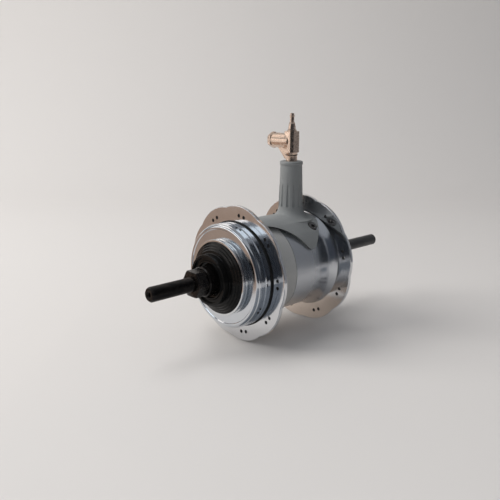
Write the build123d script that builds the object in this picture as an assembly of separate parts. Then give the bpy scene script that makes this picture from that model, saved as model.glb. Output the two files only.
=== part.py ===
from build123d import *
from math import acos, cos, hypot, pi, radians, sin, tan
import os

# Internal three-speed gear hub with a grey stem saddle clamped round its shell.
# Millimetres. The axle lies along Y and the sprocket side is +Y. The stem stands up along +Z.
# The origin is the centre of the left flange's outer face, on the axle's axis.
# Turned pieces are drawn as (radius, y) profiles, and flat pieces as sketches of X across and Z up.

# Fits and gaps
running_gap = 0.05
seat_gap = 0.05
face_gap = 0.3
guard_gap = 0.5

# Axle and its nuts
axle_radius = 5.0
axle_thread_radius = 4.7
over_locknuts = 130.0
left_locknut_face = -38.9
axle_left_reach = 33.4
axle_right_reach = 21.7
axle_tip_chamfer = 1.0
axle_centre_radius = 1.6
axle_centre_depth = 4.0
axle_countersink_radius = 2.5
locknut_flats = 17.0
left_locknut_thickness = 8.3
right_locknut_thickness = 5.3
lock_washer_radius = 9.2
lock_washer_thickness = 1.2
nut_chamfer = 0.8
nut_entry_gap = 0.3
edge_round = 0.4

# Wheel flanges
flange_spacing = 66.9
flange_thickness = 2.6
spoke_circle_radius = 41.6
spoke_hole_radius = 1.3
spoke_pair_count = 9
spoke_pair_half_angle = 3.4
left_pair_angle = 1.7
right_pair_angle = 13.3
flange_lobe_radius = 32.2
flange_lobe_offset = 16.0
flange_edge_round = 0.5

# Shell barrel and grey band
barrel_wall = 3.0
barrel_flare_rise = 3.5
barrel_flare_length = 9.0
band_length = 25.6
band_thickness = 1.0
band_edge_round = 0.3

# Left end drum, its rings and its cover
drum_step = 4.1
drum_depth = 12.4
drum_land_width = 3.8
drum_groove_width = 1.1
drum_groove_depth = 0.7
drum_front_step = 0.2
drum_shoulder_step = 0.5
drum_lip_width = 2.9
drum_lip_round = 2.2
drum_face_recess = 0.5
drum_skirt_wall = 3.3
drum_skirt_length = 16.0
drum_plate_thickness = 3.5
drum_hub_wall = 3.3
drum_hub_length = 10.5
drum_cup_ledge = 2.5
seal_ring_thickness = 1.2
seal_ring_reach = 1.0
seal_ring_depth = 5.6
knurl_radius = 26.4
knurl_count = 72
knurl_depth = 0.5
knurl_overlap = 0.1
knurl_ring_base = 1.0
knurl_ring_depth = 4.5
knurl_lip_height = 0.7
knurl_ring_wall = 1.3
knurl_ring_bore_radius = 20.5
cover_depth = 12.5
cover_rim_height = 4.1
cover_step_count = 3
cover_step_height = 0.55
cover_step_slope = 0.5
cover_boss_radius = 17.6
cover_boss_depth = 5.0
cover_boss_rim = 1.8
cover_recess_depth = 1.5
cover_ring_radius = 12.9
cover_ring_width = 0.9
cover_well_depth = 3.0
cover_wall = 2.0
cover_cavity_radius = 18.2
cone_body_radius = 10.3
cone_flange_reach = 1.8

# Ball bearings
left_ball_radius = 3.175
left_race_radius = 15.0
left_race_y = -8.0
right_ball_radius = 2.38
right_race_radius = 19.5
right_race_y = 71.5
driver_race_radius = 11.5
driver_race_y = 77.5
balls_per_race = 9
cone_lip_reach = 1.1
cone_lip_thickness = 0.6
cone_nose_taper = 0.8

# Epicyclic gears
gear_module = 1.0
sun_teeth = 16
planet_teeth = 16
planet_count = 4
pressure_angle = 20.0
tooth_addendum = 0.88
tooth_dedendum = 1.15
tooth_thinning = 0.14
ring_undercut = 0.5
gear_width = 15.2
gear_y = 28.0
planet_pin_radius = 2.5
ring_rim = 2.85
ring_room = 1.5
ring_left_y = 17.5
carrier_left_inset = 0.6
carrier_right_inset = 2.4
carrier_left_thickness = 10.5
carrier_right_thickness = 5.2
carrier_boss_radius = 9.0
carrier_boss_length = 6.0
carrier_pillar_radius = 3.1
carrier_pillar_inset = 5.8
planet_pin_reach = 4.8
planet_pin_cover = 2.0

# Driver, clutch and shift rod
driver_tube_radius = 15.5
driver_tube_wall = 4.0
driver_left_y = 46.5
driver_web_y = 64.0
driver_web_bore_radius = 9.0
driver_flange_radius = 21.0
driver_end_y = 81.5
driver_step_clearance = 0.8
driver_key_count = 3
driver_key_radius = 1.9
driver_key_circle = 18.0
sprocket_seat_y = 76.0
sprocket_seat_radius = 17.4
clutch_y = 46.8
clutch_thickness = 2.5
clutch_arm_width = 5.0
clutch_arm_reach = 4.1
clutch_travel = 3.2
dog_height = 5.1
thrust_ring_thickness = 0.9
thrust_ring_radius = 10.5
key_width = 3.0
key_half_length = 9.0
rod_radius = 2.5
rod_end_y = 150.0
rod_tip_radius = 1.1
guide_radius = 4.4
guide_end_y = 154.5
guide_overlap = 6.0
guide_spigot_radius = 3.5
spring_radius = 7.2
spring_wire_radius = 0.5
spring_turns = 6
rod_end_round = 0.6

# Ring gear's end disc, pawls and ratchet
pawl_disc_y = 56.0
pawl_disc_length = 10.0
pawl_disc_gap = 0.5
ring_plate_y = 53.0
pawl_count = 2
pawl_pivot_inset = 3.9
pawl_boss_radius = 2.2
pawl_width = 5.4
pawl_pin_radius = 0.9
pawl_pin_inset = 0.4
pawl_face_angle = 17.0
pawl_tip_gap = 0.4
pawl_tip_angle_gap = 0.6
pawl_nose_height = 3.3
pawl_nose_rake = 0.9
pawl_pocket_length = 9.6
ratchet_teeth = 24
ratchet_depth = 1.6
ratchet_wall = 2.0
ratchet_y = 57.5
ratchet_rake = 2.8
ratchet_overlap = 0.1

# Right ball ring, sprocket and covers
ball_ring_reach = 0.5
ball_ring_plate = 4.5
ball_ring_web = 2.47
ball_ring_chamfer = 1.0
sprocket_teeth = 16
chain_pitch = 12.7
chain_roller_radius = 3.9
sprocket_thickness = 2.9
sprocket_tooth_tip = 3.3
sprocket_mouth_radius = 6.0
snap_ring_thickness = 1.2
snap_ring_opening = 4.0
snap_ring_width = 1.9
snap_ring_groove = 1.0
driver_cover_thickness = 1.2
driver_cover_radius = 16.8
driver_cover_bore_radius = 10.4
driver_cover_lip = 0.8

# Stem saddle and tower
stem_y = 54.0
saddle_side_thickness = 0.1
saddle_crown_rise = 3.4
saddle_left_y = 16.0
saddle_left_height = 0.8
saddle_right_y = 65.0
saddle_edge_bow = 3.6
saddle_ear_y = 46.4
saddle_ear_z = 15.4
saddle_ear_round = 5.2
saddle_ear_left_angle = 35.0
saddle_ear_right_angle = 45.0
dome_radius = 17.0
dome_bow = 2.3
dome_height = 8.5
tower_top_z = 74.0
tower_base_radius = 8.9
tower_top_radius = 7.9
tower_rim_radius = 8.3
tower_rim_height = 2.8
tower_rim_round = 0.5
flute_count = 12
flute_radius = 1.25
flute_bottom_z = 41.5
flute_top_z = 57.0
flute_run_out = 3.0
flute_tip_radius = 0.2
flute_depth = 0.9
screw_angle = 34.5
screw_y = 56.8
screw_pocket_radius = 4.2
screw_pocket_floor = 1.0
screw_head_radius = 3.4
screw_head_height = 1.6
screw_socket_radius = 1.6
screw_socket_floor = 0.6
screw_shank_radius = 1.3
screw_shank_gap = 0.2

# Elbow fitting and valve
nipple_radius = 3.9
nipple_bore_radius = 1.5
nipple_end_gap = 0.2
elbow_stand = 0.6
elbow_neck_height = 4.3
elbow_neck_radius = 4.1
elbow_height = 20.7
elbow_half_width = 4.6
elbow_corner = 1.8
elbow_taper_height = 1.5
elbow_arm_drop = 7.2
elbow_arm_radius = 5.4
elbow_arm_length = 16.2
cap_neck_radius = 4.3
cap_gasket = 0.6
cap_flats = 10.4
cap_thickness = 3.0
cap_corner_cut = 0.5
gusset_reach = 11.6
gusset_rise = 0.8
gusset_thickness = 5.0
valve_collar_radius = 3.4
valve_collar_height = 0.8
valve_radius = 2.7
valve_foot_radius = 3.0
valve_neck_radius = 2.3
valve_neck_height = 1.2
valve_body_height = 6.3
valve_shoulder_radius = 1.8
valve_tube_height = 6.3
valve_tip_round = 0.2
valve_tube_radius = 1.5
valve_bore_radius = 0.8
valve_floor = 1.0
valve_pin_travel = 1.2
valve_pin_sink = 0.3
valve_pin_gap = 0.08

# Places that follow from the sizes above
right_locknut_face = left_locknut_face + over_locknuts
axle_left_end = left_locknut_face - axle_left_reach
axle_right_end = right_locknut_face + axle_right_reach
right_flange_y = flange_spacing
right_flange_face = right_flange_y + flange_thickness
sun_pitch_radius = gear_module * sun_teeth / 2
planet_pitch_radius = gear_module * planet_teeth / 2
ring_teeth = sun_teeth + 2 * planet_teeth
ring_pitch_radius = gear_module * ring_teeth / 2
ring_root_radius = ring_pitch_radius + tooth_dedendum
ring_outer_radius = ring_root_radius + ring_rim
barrel_bore_radius = ring_outer_radius + ring_room
barrel_radius = barrel_bore_radius + barrel_wall
drum_radius = barrel_radius + drum_step
carrier_circle = sun_pitch_radius + planet_pitch_radius
carrier_left_radius = ring_pitch_radius - carrier_left_inset
carrier_right_radius = ring_pitch_radius - carrier_right_inset
carrier_pillar_circle = ring_pitch_radius - carrier_pillar_inset
gear_left_y = gear_y - gear_width / 2
gear_right_y = gear_y + gear_width / 2
carrier_left_y = gear_left_y - guard_gap - carrier_left_thickness
carrier_right_y = gear_right_y + guard_gap
carrier_end_y = carrier_right_y + carrier_right_thickness
cone_bore_radius = axle_thread_radius + seat_gap
sun_bore_radius = axle_radius + seat_gap
left_cone_nose_y = left_race_y + left_ball_radius + running_gap + guard_gap
right_cone_nose_y = driver_race_y - right_ball_radius - running_gap + guard_gap
left_nut_inner_y = left_locknut_face + left_locknut_thickness
drum_face_y = drum_face_recess - drum_depth
cover_seat_y = drum_face_y - knurl_ring_base
right_cone_face = right_locknut_face - right_locknut_thickness - lock_washer_thickness
band_seat_radius = barrel_radius - band_thickness - seat_gap
saddle_bore_radius = barrel_radius + seat_gap
key_y = clutch_y - face_gap - thrust_ring_thickness - key_width
skirt_radius = barrel_bore_radius - 4 * seat_gap
ratchet_root_radius = skirt_radius - ratchet_wall
ratchet_tip_radius = ratchet_root_radius - ratchet_depth
pawl_disc_radius = ratchet_tip_radius - pawl_disc_gap
pawl_pivot_circle = pawl_disc_radius - pawl_pivot_inset
dog_outer_radius = driver_tube_radius + dog_height
clutch_arm_radius = driver_tube_radius + clutch_arm_reach
groove_radius = sprocket_seat_radius - snap_ring_groove
pawl_disc_end = pawl_disc_y + pawl_disc_length
pawl_middle_y = pawl_disc_y + pawl_disc_length / 2
screw_floor_radius = saddle_bore_radius + screw_pocket_floor
saddle_outer_radius = saddle_bore_radius + saddle_side_thickness
saddle_left_z = barrel_radius + saddle_left_height
dome_top_z = barrel_radius + dome_height
elbow_bottom_z = tower_top_z + elbow_stand
elbow_top_z = elbow_bottom_z + elbow_height
elbow_arm_z = elbow_top_z - elbow_arm_drop
valve_shoulder_z = elbow_top_z + valve_body_height
valve_tip_z = valve_shoulder_z + valve_tube_height
half_turn_share = cos(pi / 4)


def bowed(start, end, height):
    """Arc to an end point that stands off the straight line by a height, as a middle and an end."""
    length = hypot(end[0] - start[0], end[1] - start[1])
    side_x = (end[1] - start[1]) / length
    side_y = (start[0] - end[0]) / length
    middle = ((start[0] + end[0]) / 2 - height * side_x, (start[1] + end[1]) / 2 - height * side_y)
    return (middle, end)


def rounded(corner, from_side, to_side, size):
    """Points that round a corner: its start on one side, then its middle and its end on the other."""
    start = toward(corner, from_side, size)
    end = toward(corner, to_side, size)
    pull = 1 - half_turn_share
    middle = tuple(corner[i] * (1 - 2 * pull) + (start[i] + end[i]) * pull for i in (0, 1))
    return start, (middle, end)


def toward(point, target, distance):
    """Point that lies some way from one point towards another."""
    share = distance / hypot(target[0] - point[0], target[1] - point[1])
    return tuple(point[i] + share * (target[i] - point[i]) for i in (0, 1))


def wire_through(*steps):
    """Close a wire through points; a step that holds two points is an arc through the first of them."""
    edges = []
    here = steps[0]
    for step in steps[1:]:
        if isinstance(step[0], tuple):
            edges.append(ThreePointArc(here, step[0], step[1]))
            here = step[1]
        else:
            edges.append(Line(here, step))
            here = step
    edges.append(Line(here, steps[0]))
    return make_face(edges)


def turned(*steps):
    """Turn a (radius, y) profile round the axle."""
    return revolve(wire_through(*steps), Axis.Y, 360)


def slab(sketch, low_y, high_y):
    """Give a sketch of X across and Z up its thickness between two places on the axle."""
    return extrude(Plane.XZ.offset(-high_y) * sketch, high_y - low_y, dir=(0, -1, 0))


def tube(outer, inner, low_y, high_y):
    """Plain ring round the axle."""
    return turned((inner, low_y), (outer, low_y), (outer, high_y), (inner, high_y))


def polar(radius, degrees):
    """Point in the wheel plane at an angle from +X towards +Z."""
    return (radius * cos(radians(degrees)), radius * sin(radians(degrees)))


def hexagon_nut(flats, low_y, high_y, bore):
    """Hexagon nut, its corners turned off and its thread countersunk clear of the axle at both faces."""
    corner = flats / 2 / cos(pi / 6)
    blank = slab(RegularPolygon(flats / 2, 6, major_radius=False), low_y, high_y)
    drop = nut_chamfer * tan(radians(30))
    entry = axle_radius + nut_entry_gap
    turned_off = turned(
        (bore, low_y + entry - bore),
        (entry, low_y),
        (corner - nut_chamfer, low_y),
        (corner, low_y + drop),
        (corner, high_y - drop),
        (corner - nut_chamfer, high_y),
        (entry, high_y),
        (bore, high_y - entry + bore),
    )
    return blank & turned_off


def race_arc(radius, y, groove, outward, along):
    """Quarter groove of a ball race, from beside the ball to the end of it, as a middle and an end point."""
    part = groove * half_turn_share
    middle = (radius + outward * part, y + along * part)
    end = (radius, y + along * groove)
    return (middle, end)


def ball_ring(ball_radius, circle, y):
    """Balls of one race, evenly spaced."""
    balls = []
    for index in range(balls_per_race):
        x, z = polar(circle, 360 / balls_per_race * index)
        balls.append(Pos(x, y, z) * Sphere(ball_radius))
    return Compound(children=balls)


def involute_angle(radius, base):
    """Involute function of the pressure angle at a radius."""
    slope = acos(min(1.0, base / radius))
    return tan(slope) - slope


def gear_outline(teeth, tip_radius, root_radius, tooth_width, turn):
    """Outline of an involute gear; turn is the direction of its first tooth."""
    pitch_radius = gear_module * teeth / 2
    base = pitch_radius * cos(radians(pressure_angle))
    start = max(base, root_radius)
    middle = (start + tip_radius) / 2

    def half_angle(radius):
        half_pitch = tooth_width / 2 / pitch_radius
        return (half_pitch + involute_angle(pitch_radius, base) - involute_angle(radius, base)) * 180 / pi

    edges = []
    step = 360 / teeth
    for tooth in range(teeth):
        axis = turn + tooth * step
        left = [polar(radius, axis - half_angle(radius)) for radius in (start, middle, tip_radius)]
        right = [polar(radius, axis + half_angle(radius)) for radius in (tip_radius, middle, start)]
        foot = polar(root_radius, axis - half_angle(start))
        heel = polar(root_radius, axis + half_angle(start))
        next_foot = polar(root_radius, axis + step - half_angle(start))
        if start > root_radius:
            edges.append(Line(foot, left[0]))
        edges.append(ThreePointArc(*left))
        edges.append(ThreePointArc(left[2], polar(tip_radius, axis), right[0]))
        edges.append(ThreePointArc(*right))
        if start > root_radius:
            edges.append(Line(right[2], heel))
        edges.append(ThreePointArc(heel, polar(root_radius, axis + step / 2), next_foot))
    return make_face(edges)


def make_axle():
    """Axle with its centre mark, the key slot, the bore of the shift rod and the guide's spigot."""
    body = turned(
        (0, axle_left_end),
        (axle_radius - axle_tip_chamfer, axle_left_end),
        (axle_radius, axle_left_end + axle_tip_chamfer),
        (axle_radius, left_locknut_face),
        (axle_thread_radius, left_locknut_face),
        (axle_thread_radius, left_cone_nose_y + guard_gap),
        (axle_radius, left_cone_nose_y + guard_gap),
        (axle_radius, right_cone_nose_y - guard_gap),
        (axle_thread_radius, right_cone_nose_y - guard_gap),
        (axle_thread_radius, right_locknut_face),
        (axle_radius, right_locknut_face),
        (axle_radius, axle_right_end),
        (guide_spigot_radius, axle_right_end),
        (guide_spigot_radius, axle_right_end + guide_overlap),
        (0, axle_right_end + guide_overlap),
    )
    centre = turned(
        (0, axle_left_end),
        (axle_countersink_radius, axle_left_end),
        (axle_centre_radius, axle_left_end + axle_countersink_radius - axle_centre_radius),
        (axle_centre_radius, axle_left_end + axle_centre_depth),
        (0, axle_left_end + axle_centre_depth + axle_centre_radius),
    )
    rod_radius_free = rod_radius + 2 * running_gap
    rod_bore = turned(
        (0, key_y - key_width),
        (rod_radius_free, key_y - key_width),
        (rod_radius_free, axle_right_end + guide_overlap),
        (0, axle_right_end + guide_overlap),
    )
    slot_width = key_width + 4 * running_gap
    slot_length = key_width + clutch_travel + 2 * face_gap
    slot_y = key_y - face_gap + slot_length / 2
    slot = Pos(0, slot_y, 0) * Box(slot_width, slot_length, 4 * axle_radius)
    return body - centre - rod_bore - slot


def make_sun_gear():
    """Sun gear, fixed on the axle."""
    face = gear_outline(
        sun_teeth,
        sun_pitch_radius + tooth_addendum,
        sun_pitch_radius - tooth_dedendum,
        pi * gear_module / 2 - tooth_thinning,
        0,
    )
    return slab(face - Circle(sun_bore_radius), gear_left_y, gear_right_y)


def make_left_cone():
    """Black bearing cone of the left side, with the round body that the locknut presses on."""
    groove = left_ball_radius + running_gap
    race_inner = left_race_radius - groove
    race_face = left_race_y - groove
    flange_radius = left_race_radius + cone_flange_reach
    return turned(
        (cone_bore_radius, left_cone_nose_y),
        (race_inner - cone_nose_taper, left_cone_nose_y),
        (race_inner, left_cone_nose_y - 2 * cone_nose_taper),
        (race_inner, left_race_y),
        race_arc(left_race_radius, left_race_y, groove, -1, -1),
        (flange_radius, race_face),
        (flange_radius, cover_seat_y),
        (cone_body_radius, cover_seat_y - edge_round),
        (cone_body_radius, left_nut_inner_y + nut_chamfer),
        (cone_body_radius - nut_chamfer, left_nut_inner_y),
        (cone_bore_radius, left_nut_inner_y),
    )


def make_left_drum():
    """Polished stepped drum that closes the shell's left end and carries the left ball cup."""
    groove = left_ball_radius + running_gap
    mouth = left_race_radius + groove
    cup_bore = left_race_radius - drum_cup_ledge
    hub_end_y = drum_face_y + drum_hub_length
    plate_y = drum_face_y + drum_plate_thickness
    skirt_bore = skirt_radius - drum_skirt_wall
    rear_y = -seal_ring_thickness
    groove_y = rear_y - drum_land_width
    land_y = groove_y - drum_groove_width
    groove_floor = drum_radius - drum_groove_depth
    front_land = drum_radius - drum_front_step
    shoulder_y = land_y - drum_land_width
    shoulder = drum_radius - drum_shoulder_step
    lip_y = -drum_depth
    lip_inner = shoulder - drum_lip_width
    lip_start, lip_arc = rounded(
        (shoulder, lip_y), (shoulder, shoulder_y), (lip_inner, lip_y), drum_lip_round
    )
    return turned(
        (cup_bore, left_race_y + groove),
        (cup_bore, hub_end_y),
        (mouth + drum_hub_wall, hub_end_y),
        (mouth + drum_hub_wall, plate_y),
        (skirt_bore, plate_y),
        (skirt_bore, drum_skirt_length),
        (skirt_radius, drum_skirt_length),
        (skirt_radius, rear_y),
        (drum_radius, rear_y),
        (drum_radius, groove_y),
        (groove_floor, groove_y - edge_round),
        (groove_floor, land_y + edge_round),
        (front_land, land_y),
        (front_land, shoulder_y),
        (shoulder, shoulder_y - edge_round),
        lip_start,
        lip_arc,
        (lip_inner, lip_y),
        (lip_inner - drum_face_recess, drum_face_y),
        (mouth, drum_face_y),
        (mouth, left_race_y),
        race_arc(left_race_radius, left_race_y, groove, 1, 1),
    )


def make_seal_ring():
    """Black ring between the drum and the left flange."""
    outer = drum_radius + seal_ring_reach
    return tube(outer, drum_radius - seal_ring_depth, -seal_ring_thickness, 0)


def make_knurled_ring():
    """Bright ring on the drum's face, with a knurled band between two lips."""
    front_y = drum_face_y - knurl_ring_depth
    wall_bore = knurl_radius - knurl_ring_wall
    floor = knurl_radius - knurl_depth
    body = turned(
        (knurl_ring_bore_radius, drum_face_y),
        (knurl_radius, drum_face_y),
        (knurl_radius, drum_face_y - knurl_lip_height),
        (floor, drum_face_y - knurl_lip_height),
        (floor, front_y + knurl_lip_height),
        (knurl_radius, front_y + knurl_lip_height),
        (knurl_radius, front_y + edge_round / 2),
        (knurl_radius - edge_round / 2, front_y),
        (wall_bore, front_y),
        (wall_bore, cover_seat_y),
        (knurl_ring_bore_radius, cover_seat_y),
    )
    step = 360 / knurl_count
    ridges = []
    for index in range(knurl_count):
        ridges.append(polar(knurl_radius - knurl_overlap, index * step))
        ridges.append(polar(floor - knurl_overlap, (index + 0.5) * step))
    star = Polygon(*ridges, align=None) - Circle(wall_bore + knurl_ring_wall / 2)
    return body + slab(star, front_y + knurl_lip_height, drum_face_y - knurl_lip_height)


def make_dust_cover():
    """Black moulded cover inside the knurled ring, with a stepped cone and a ringed boss."""
    seat = knurl_radius - knurl_ring_wall - 2 * seat_gap
    front_y = cover_seat_y - cover_depth
    boss_y = front_y + cover_boss_depth
    rim_y = cover_seat_y - cover_rim_height
    bore = cone_body_radius + guard_gap
    recess_y = front_y + cover_recess_depth
    recess_radius = cover_boss_radius - cover_boss_rim
    rim_start, rim_arc = rounded((seat, rim_y), (seat, cover_seat_y), (bore, rim_y), edge_round)
    boss_corner = (cover_boss_radius, front_y)
    boss_start, boss_arc = rounded(boss_corner, (cover_boss_radius, boss_y), (bore, front_y), edge_round)
    step_width = (seat - cover_boss_radius - 2 * edge_round) / (cover_step_count + 1)
    steps = []
    for index in range(cover_step_count):
        radius = seat - edge_round - step_width * (index + 1)
        y = rim_y - (cover_step_height + cover_step_slope) * index
        steps.append((radius + edge_round, y - cover_step_slope))
        steps.append((radius, y - cover_step_slope - cover_step_height))
    return turned(
        (cover_cavity_radius, cover_seat_y),
        (seat, cover_seat_y),
        rim_start,
        rim_arc,
        *steps,
        (cover_boss_radius + edge_round, boss_y),
        (cover_boss_radius, boss_y - edge_round),
        boss_start,
        boss_arc,
        (recess_radius, front_y),
        (recess_radius - edge_round, recess_y),
        (cover_ring_radius + cover_ring_width, recess_y),
        (cover_ring_radius + cover_ring_width / 2, recess_y - cover_step_height),
        (cover_ring_radius - cover_ring_width / 2, recess_y - cover_step_height),
        (cover_ring_radius - cover_ring_width, front_y + cover_well_depth - edge_round),
        (bore, front_y + cover_well_depth),
        (bore, boss_y + cover_wall),
        (cover_cavity_radius, boss_y + cover_wall + edge_round),
    )


def barrel_flare(gap):
    """Start, middle and end of the barrel's flare to the right flange, moved outward by a gap."""
    low_y = right_flange_y - barrel_flare_length
    rise = barrel_flare_rise
    chord = hypot(rise, barrel_flare_length)
    sweep_angle = 2 * (pi / 2 - acos(rise / chord))
    arc_radius = barrel_flare_length / sin(sweep_angle)
    middle_radius = barrel_radius + arc_radius * (1 - cos(sweep_angle / 2))
    middle = (middle_radius + gap, low_y + arc_radius * sin(sweep_angle / 2))
    return (barrel_radius + gap, low_y), middle, (barrel_radius + rise + gap, right_flange_y)


def make_hub_shell():
    """Shell barrel, with the seat of the grey band, a flare to the right flange and the stem's port."""
    low_y = flange_thickness
    band_end_y = low_y + band_length
    flare_start, flare_middle, flare_end = barrel_flare(0)
    body = turned(
        (barrel_bore_radius, low_y),
        (band_seat_radius, low_y),
        (band_seat_radius, band_end_y),
        (barrel_radius, band_end_y),
        flare_start,
        (flare_middle, flare_end),
        (barrel_bore_radius, right_flange_y),
    )
    port = Pos(0, stem_y, barrel_radius) * Cylinder(nipple_radius + seat_gap, 3 * barrel_wall)
    return body - port


def make_flange(low_y, first_pair_angle):
    """Spoke flange: nine lobes, each with a pair of spoke holes."""
    step = 360 / spoke_pair_count
    high_y = low_y + flange_thickness
    soft = flange_edge_round
    inner_soft = soft * (1 - cos(pi / 4))
    lobe = turned(
        (0, low_y),
        (flange_lobe_radius - soft, low_y),
        ((flange_lobe_radius - inner_soft, low_y + inner_soft), (flange_lobe_radius, low_y + soft)),
        (flange_lobe_radius, high_y - soft),
        ((flange_lobe_radius - inner_soft, high_y - inner_soft), (flange_lobe_radius - soft, high_y)),
        (0, high_y),
    )
    plate = Part()
    holes = Sketch()
    for index in range(spoke_pair_count):
        x, z = polar(flange_lobe_offset, first_pair_angle + index * step)
        plate += Pos(x, 0, z) * lobe
        for side in (-1, 1):
            x, z = polar(spoke_circle_radius, first_pair_angle + index * step + side * spoke_pair_half_angle)
            holes += Pos(x, z) * Circle(spoke_hole_radius)
    return plate - slab(holes + Circle(barrel_bore_radius), low_y, high_y)


def make_grey_band():
    """Grey moulded band that lies on the barrel beside the left flange."""
    inner = band_seat_radius + seat_gap
    outer = barrel_radius
    low_y = flange_thickness
    high_y = low_y + band_length - seat_gap
    return turned(
        (inner, low_y),
        (outer, low_y),
        (outer, high_y - band_edge_round),
        (outer - band_edge_round, high_y),
        (inner, high_y),
    )


def make_right_ball_ring():
    """Ring screwed into the shell's right end, with the outer ball cup and the ratchet."""
    groove = right_ball_radius + running_gap
    mouth = right_race_radius + groove
    shoulder_y = right_race_y - groove
    web_y = shoulder_y - ball_ring_web
    web_bore = right_race_radius - groove + guard_gap
    outer_y = right_flange_face + ball_ring_plate
    rim = barrel_radius + ball_ring_reach
    body = turned(
        (web_bore, web_y),
        (ratchet_tip_radius, web_y),
        (ratchet_tip_radius, ratchet_y),
        (skirt_radius, ratchet_y),
        (skirt_radius, right_flange_face),
        (rim, right_flange_face),
        (rim, outer_y - ball_ring_chamfer),
        (rim - ball_ring_chamfer, outer_y),
        (mouth, outer_y),
        (mouth, right_race_y),
        race_arc(right_race_radius, right_race_y, groove, 1, -1),
        (web_bore, shoulder_y),
    )
    step = 360 / ratchet_teeth
    corners = []
    for tooth in range(ratchet_teeth):
        face_angle = pawl_face_angle + tooth * step
        corners.append(polar(ratchet_tip_radius - ratchet_overlap, face_angle + ratchet_rake))
        corners.append(polar(ratchet_root_radius, face_angle + step))
    return body - slab(Polygon(*corners, align=None), ratchet_y, web_y)


def at_pawl(index, shape):
    """Turn a piece drawn at the first pawl to the place of another."""
    return Rot(0, -360 / pawl_count * index, 0) * shape


def make_ring_gear():
    """Ring gear with the clutch's dogs and the disc that carries the pawls."""
    tooth_gap = pi * gear_module / 2 + tooth_thinning
    bore = ring_root_radius + ring_undercut
    driver_bore = driver_tube_radius + running_gap
    body = turned(
        (bore, ring_left_y),
        (ring_outer_radius, ring_left_y),
        (ring_outer_radius, pawl_disc_y),
        (pawl_disc_radius, pawl_disc_y),
        (pawl_disc_radius, pawl_disc_end),
        (driver_bore, pawl_disc_end),
        (driver_bore, ring_plate_y),
        (bore, ring_plate_y),
    )
    ring_tip_radius = ring_pitch_radius - tooth_addendum
    spaces = gear_outline(ring_teeth, ring_root_radius, ring_tip_radius, tooth_gap, 180 / ring_teeth)
    teeth = slab(Circle(bore + ring_undercut) - spaces, gear_left_y, gear_right_y)
    dogs = Circle(dog_outer_radius) - Circle(driver_bore + 2 * guard_gap)
    slot_width = clutch_arm_width + 2 * face_gap
    dogs -= Rectangle(slot_width, 3 * dog_outer_radius)
    dogs -= Rectangle(3 * dog_outer_radius, slot_width)
    body = body + teeth + slab(dogs, clutch_y - face_gap, ring_plate_y)
    for index in range(pawl_count):
        body -= at_pawl(index, pawl_pocket())
    return body


def pawl_pocket():
    """Pocket for one pawl, with the hole for its pin."""
    half = pawl_width / 2 + face_gap
    room = pawl_boss_radius + face_gap
    inner = pawl_pivot_circle - pawl_boss_radius + 2 * face_gap
    outer = pawl_disc_radius + guard_gap
    pocket = Pos(pawl_pivot_circle, 0) * Circle(room)
    pocket += Polygon(
        (pawl_pivot_circle + room - face_gap, -room / 2),
        (outer, -room / 4),
        (outer, pawl_pocket_length),
        (inner, pawl_pocket_length),
        (inner, room / 2),
        align=None,
    )
    pin_room = Pos(pawl_pivot_circle, 0) * Circle(pawl_pin_radius + seat_gap / 2)
    pin_hole = slab(pin_room, pawl_disc_y + pawl_pin_inset, pawl_disc_end - pawl_pin_inset)
    return slab(pocket, pawl_middle_y - half, pawl_middle_y + half) + pin_hole


def make_pawl(index):
    """Sprung pawl whose tip stands in a tooth of the ratchet."""
    tip_angle = pawl_face_angle - pawl_tip_angle_gap
    tip = polar(ratchet_root_radius - pawl_tip_gap, tip_angle)
    heel = polar(ratchet_root_radius - pawl_tip_gap - pawl_nose_height, tip_angle - pawl_nose_rake)
    outline = Pos(pawl_pivot_circle, 0) * Circle(pawl_boss_radius)
    outline += Polygon(
        (pawl_pivot_circle + pawl_boss_radius - running_gap, edge_round),
        tip,
        heel,
        (pawl_pivot_circle - pawl_boss_radius + face_gap, edge_round),
        align=None,
    )
    outline -= Pos(pawl_pivot_circle, 0) * Circle(pawl_pin_radius + running_gap)
    blank = slab(outline, pawl_middle_y - pawl_width / 2, pawl_middle_y + pawl_width / 2)
    return at_pawl(index, blank)


def make_pawl_pins():
    """Pins of the pawls, fixed in the ring gear's disc."""
    pins = []
    for index in range(pawl_count):
        sketch = Pos(pawl_pivot_circle, 0) * Circle(pawl_pin_radius)
        pin = slab(sketch, pawl_disc_y + pawl_pin_inset, pawl_disc_end - pawl_pin_inset)
        pins.append(at_pawl(index, pin))
    return Compound(children=pins)


def make_planet(index):
    """Planet gear; a gap of its teeth faces the sun's tooth."""
    face = gear_outline(
        planet_teeth,
        planet_pitch_radius + tooth_addendum,
        planet_pitch_radius - tooth_dedendum,
        pi * gear_module / 2 - tooth_thinning,
        180 / planet_teeth,
    )
    face -= Circle(planet_pin_radius + running_gap)
    x, z = polar(carrier_circle, 360 / planet_count * index)
    return slab(Pos(x, z) * face, gear_left_y, gear_right_y)


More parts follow.
